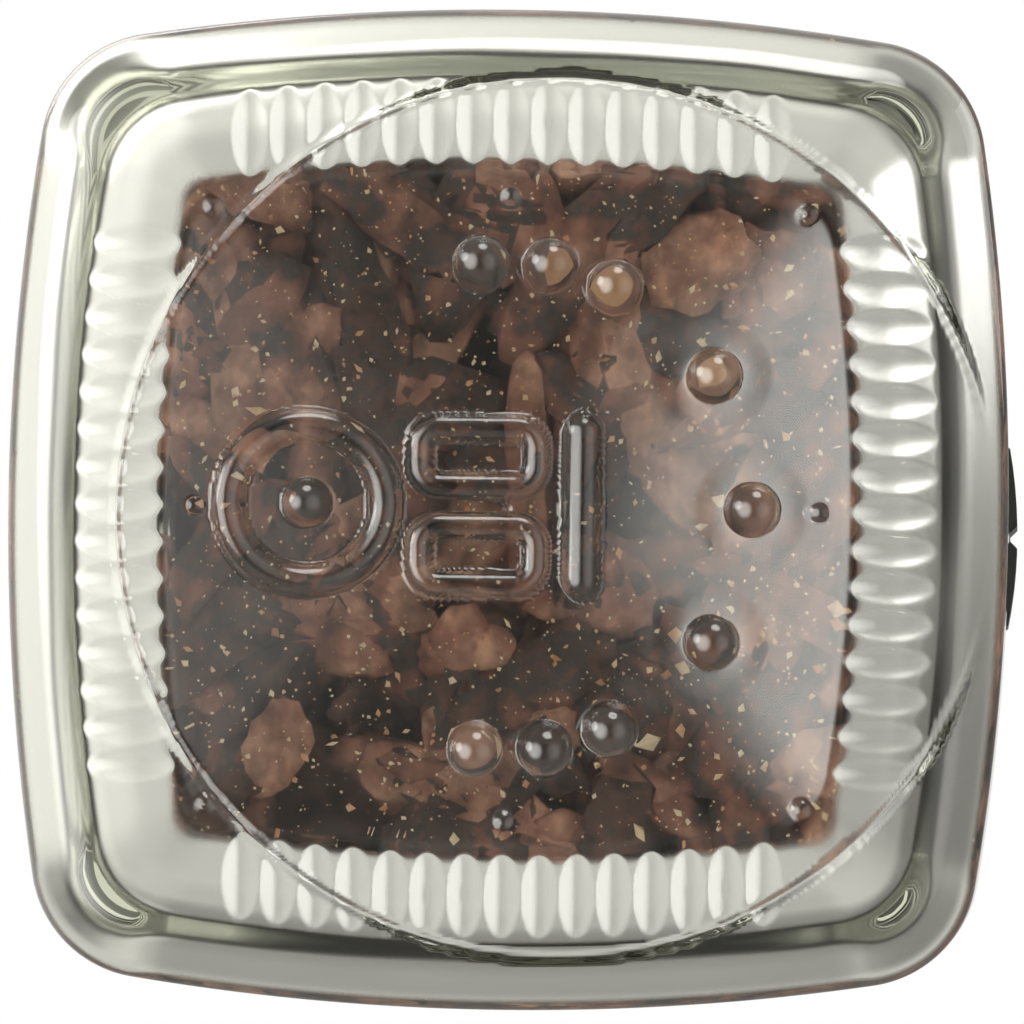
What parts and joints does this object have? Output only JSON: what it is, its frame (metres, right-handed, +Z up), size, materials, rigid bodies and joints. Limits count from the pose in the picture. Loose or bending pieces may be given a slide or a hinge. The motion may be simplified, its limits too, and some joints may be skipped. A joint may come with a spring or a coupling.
{
  "type": "spice mill",
  "caption": "Square clear-glass spice mill with bowed sides and a knurled base ring, a fluted grip that turns a toothed cone, and a push-on cap, filled with coarse dried spice.",
  "frame": {"origin": "centre of the base, on the plane the rib crests rest on", "axes": "+Z up along the axis of the jar and mill, X and Y across the flat sides of the jar"},
  "size_m": [0.0508, 0.0508, 0.1242],
  "materials": {
    "clear_glass": "clear, faint green",
    "dried_spice": "dry, coarse, matte",
    "black_plastic": "satin moulded",
    "burr_plastic": "dull, hard",
    "screw_steel": "plain"
  },
  "bodies": {
    "bottle": {"glass_bottle": "clear_glass", "spice_fill": "dried_spice", "neck_collar": "black_plastic", "grinding_ring": "burr_plastic"},
    "head": {"grip_head": "black_plastic", "grinding_cone": "burr_plastic", "cone_screw": "screw_steel"},
    "cap": {"overcap": "black_plastic"}
  },
  "joints": [
    {"name": "head_spin", "type": "hinge", "parent": "bottle", "child": "head", "pos_m": [0, 0, 0.09], "axis": [0, 0, 1], "continuous": true},
    {"name": "cap_lift", "type": "slide", "parent": "head", "child": "cap", "axis": [0, 0, 1], "range_m": [0, 0.035]}
  ]
}
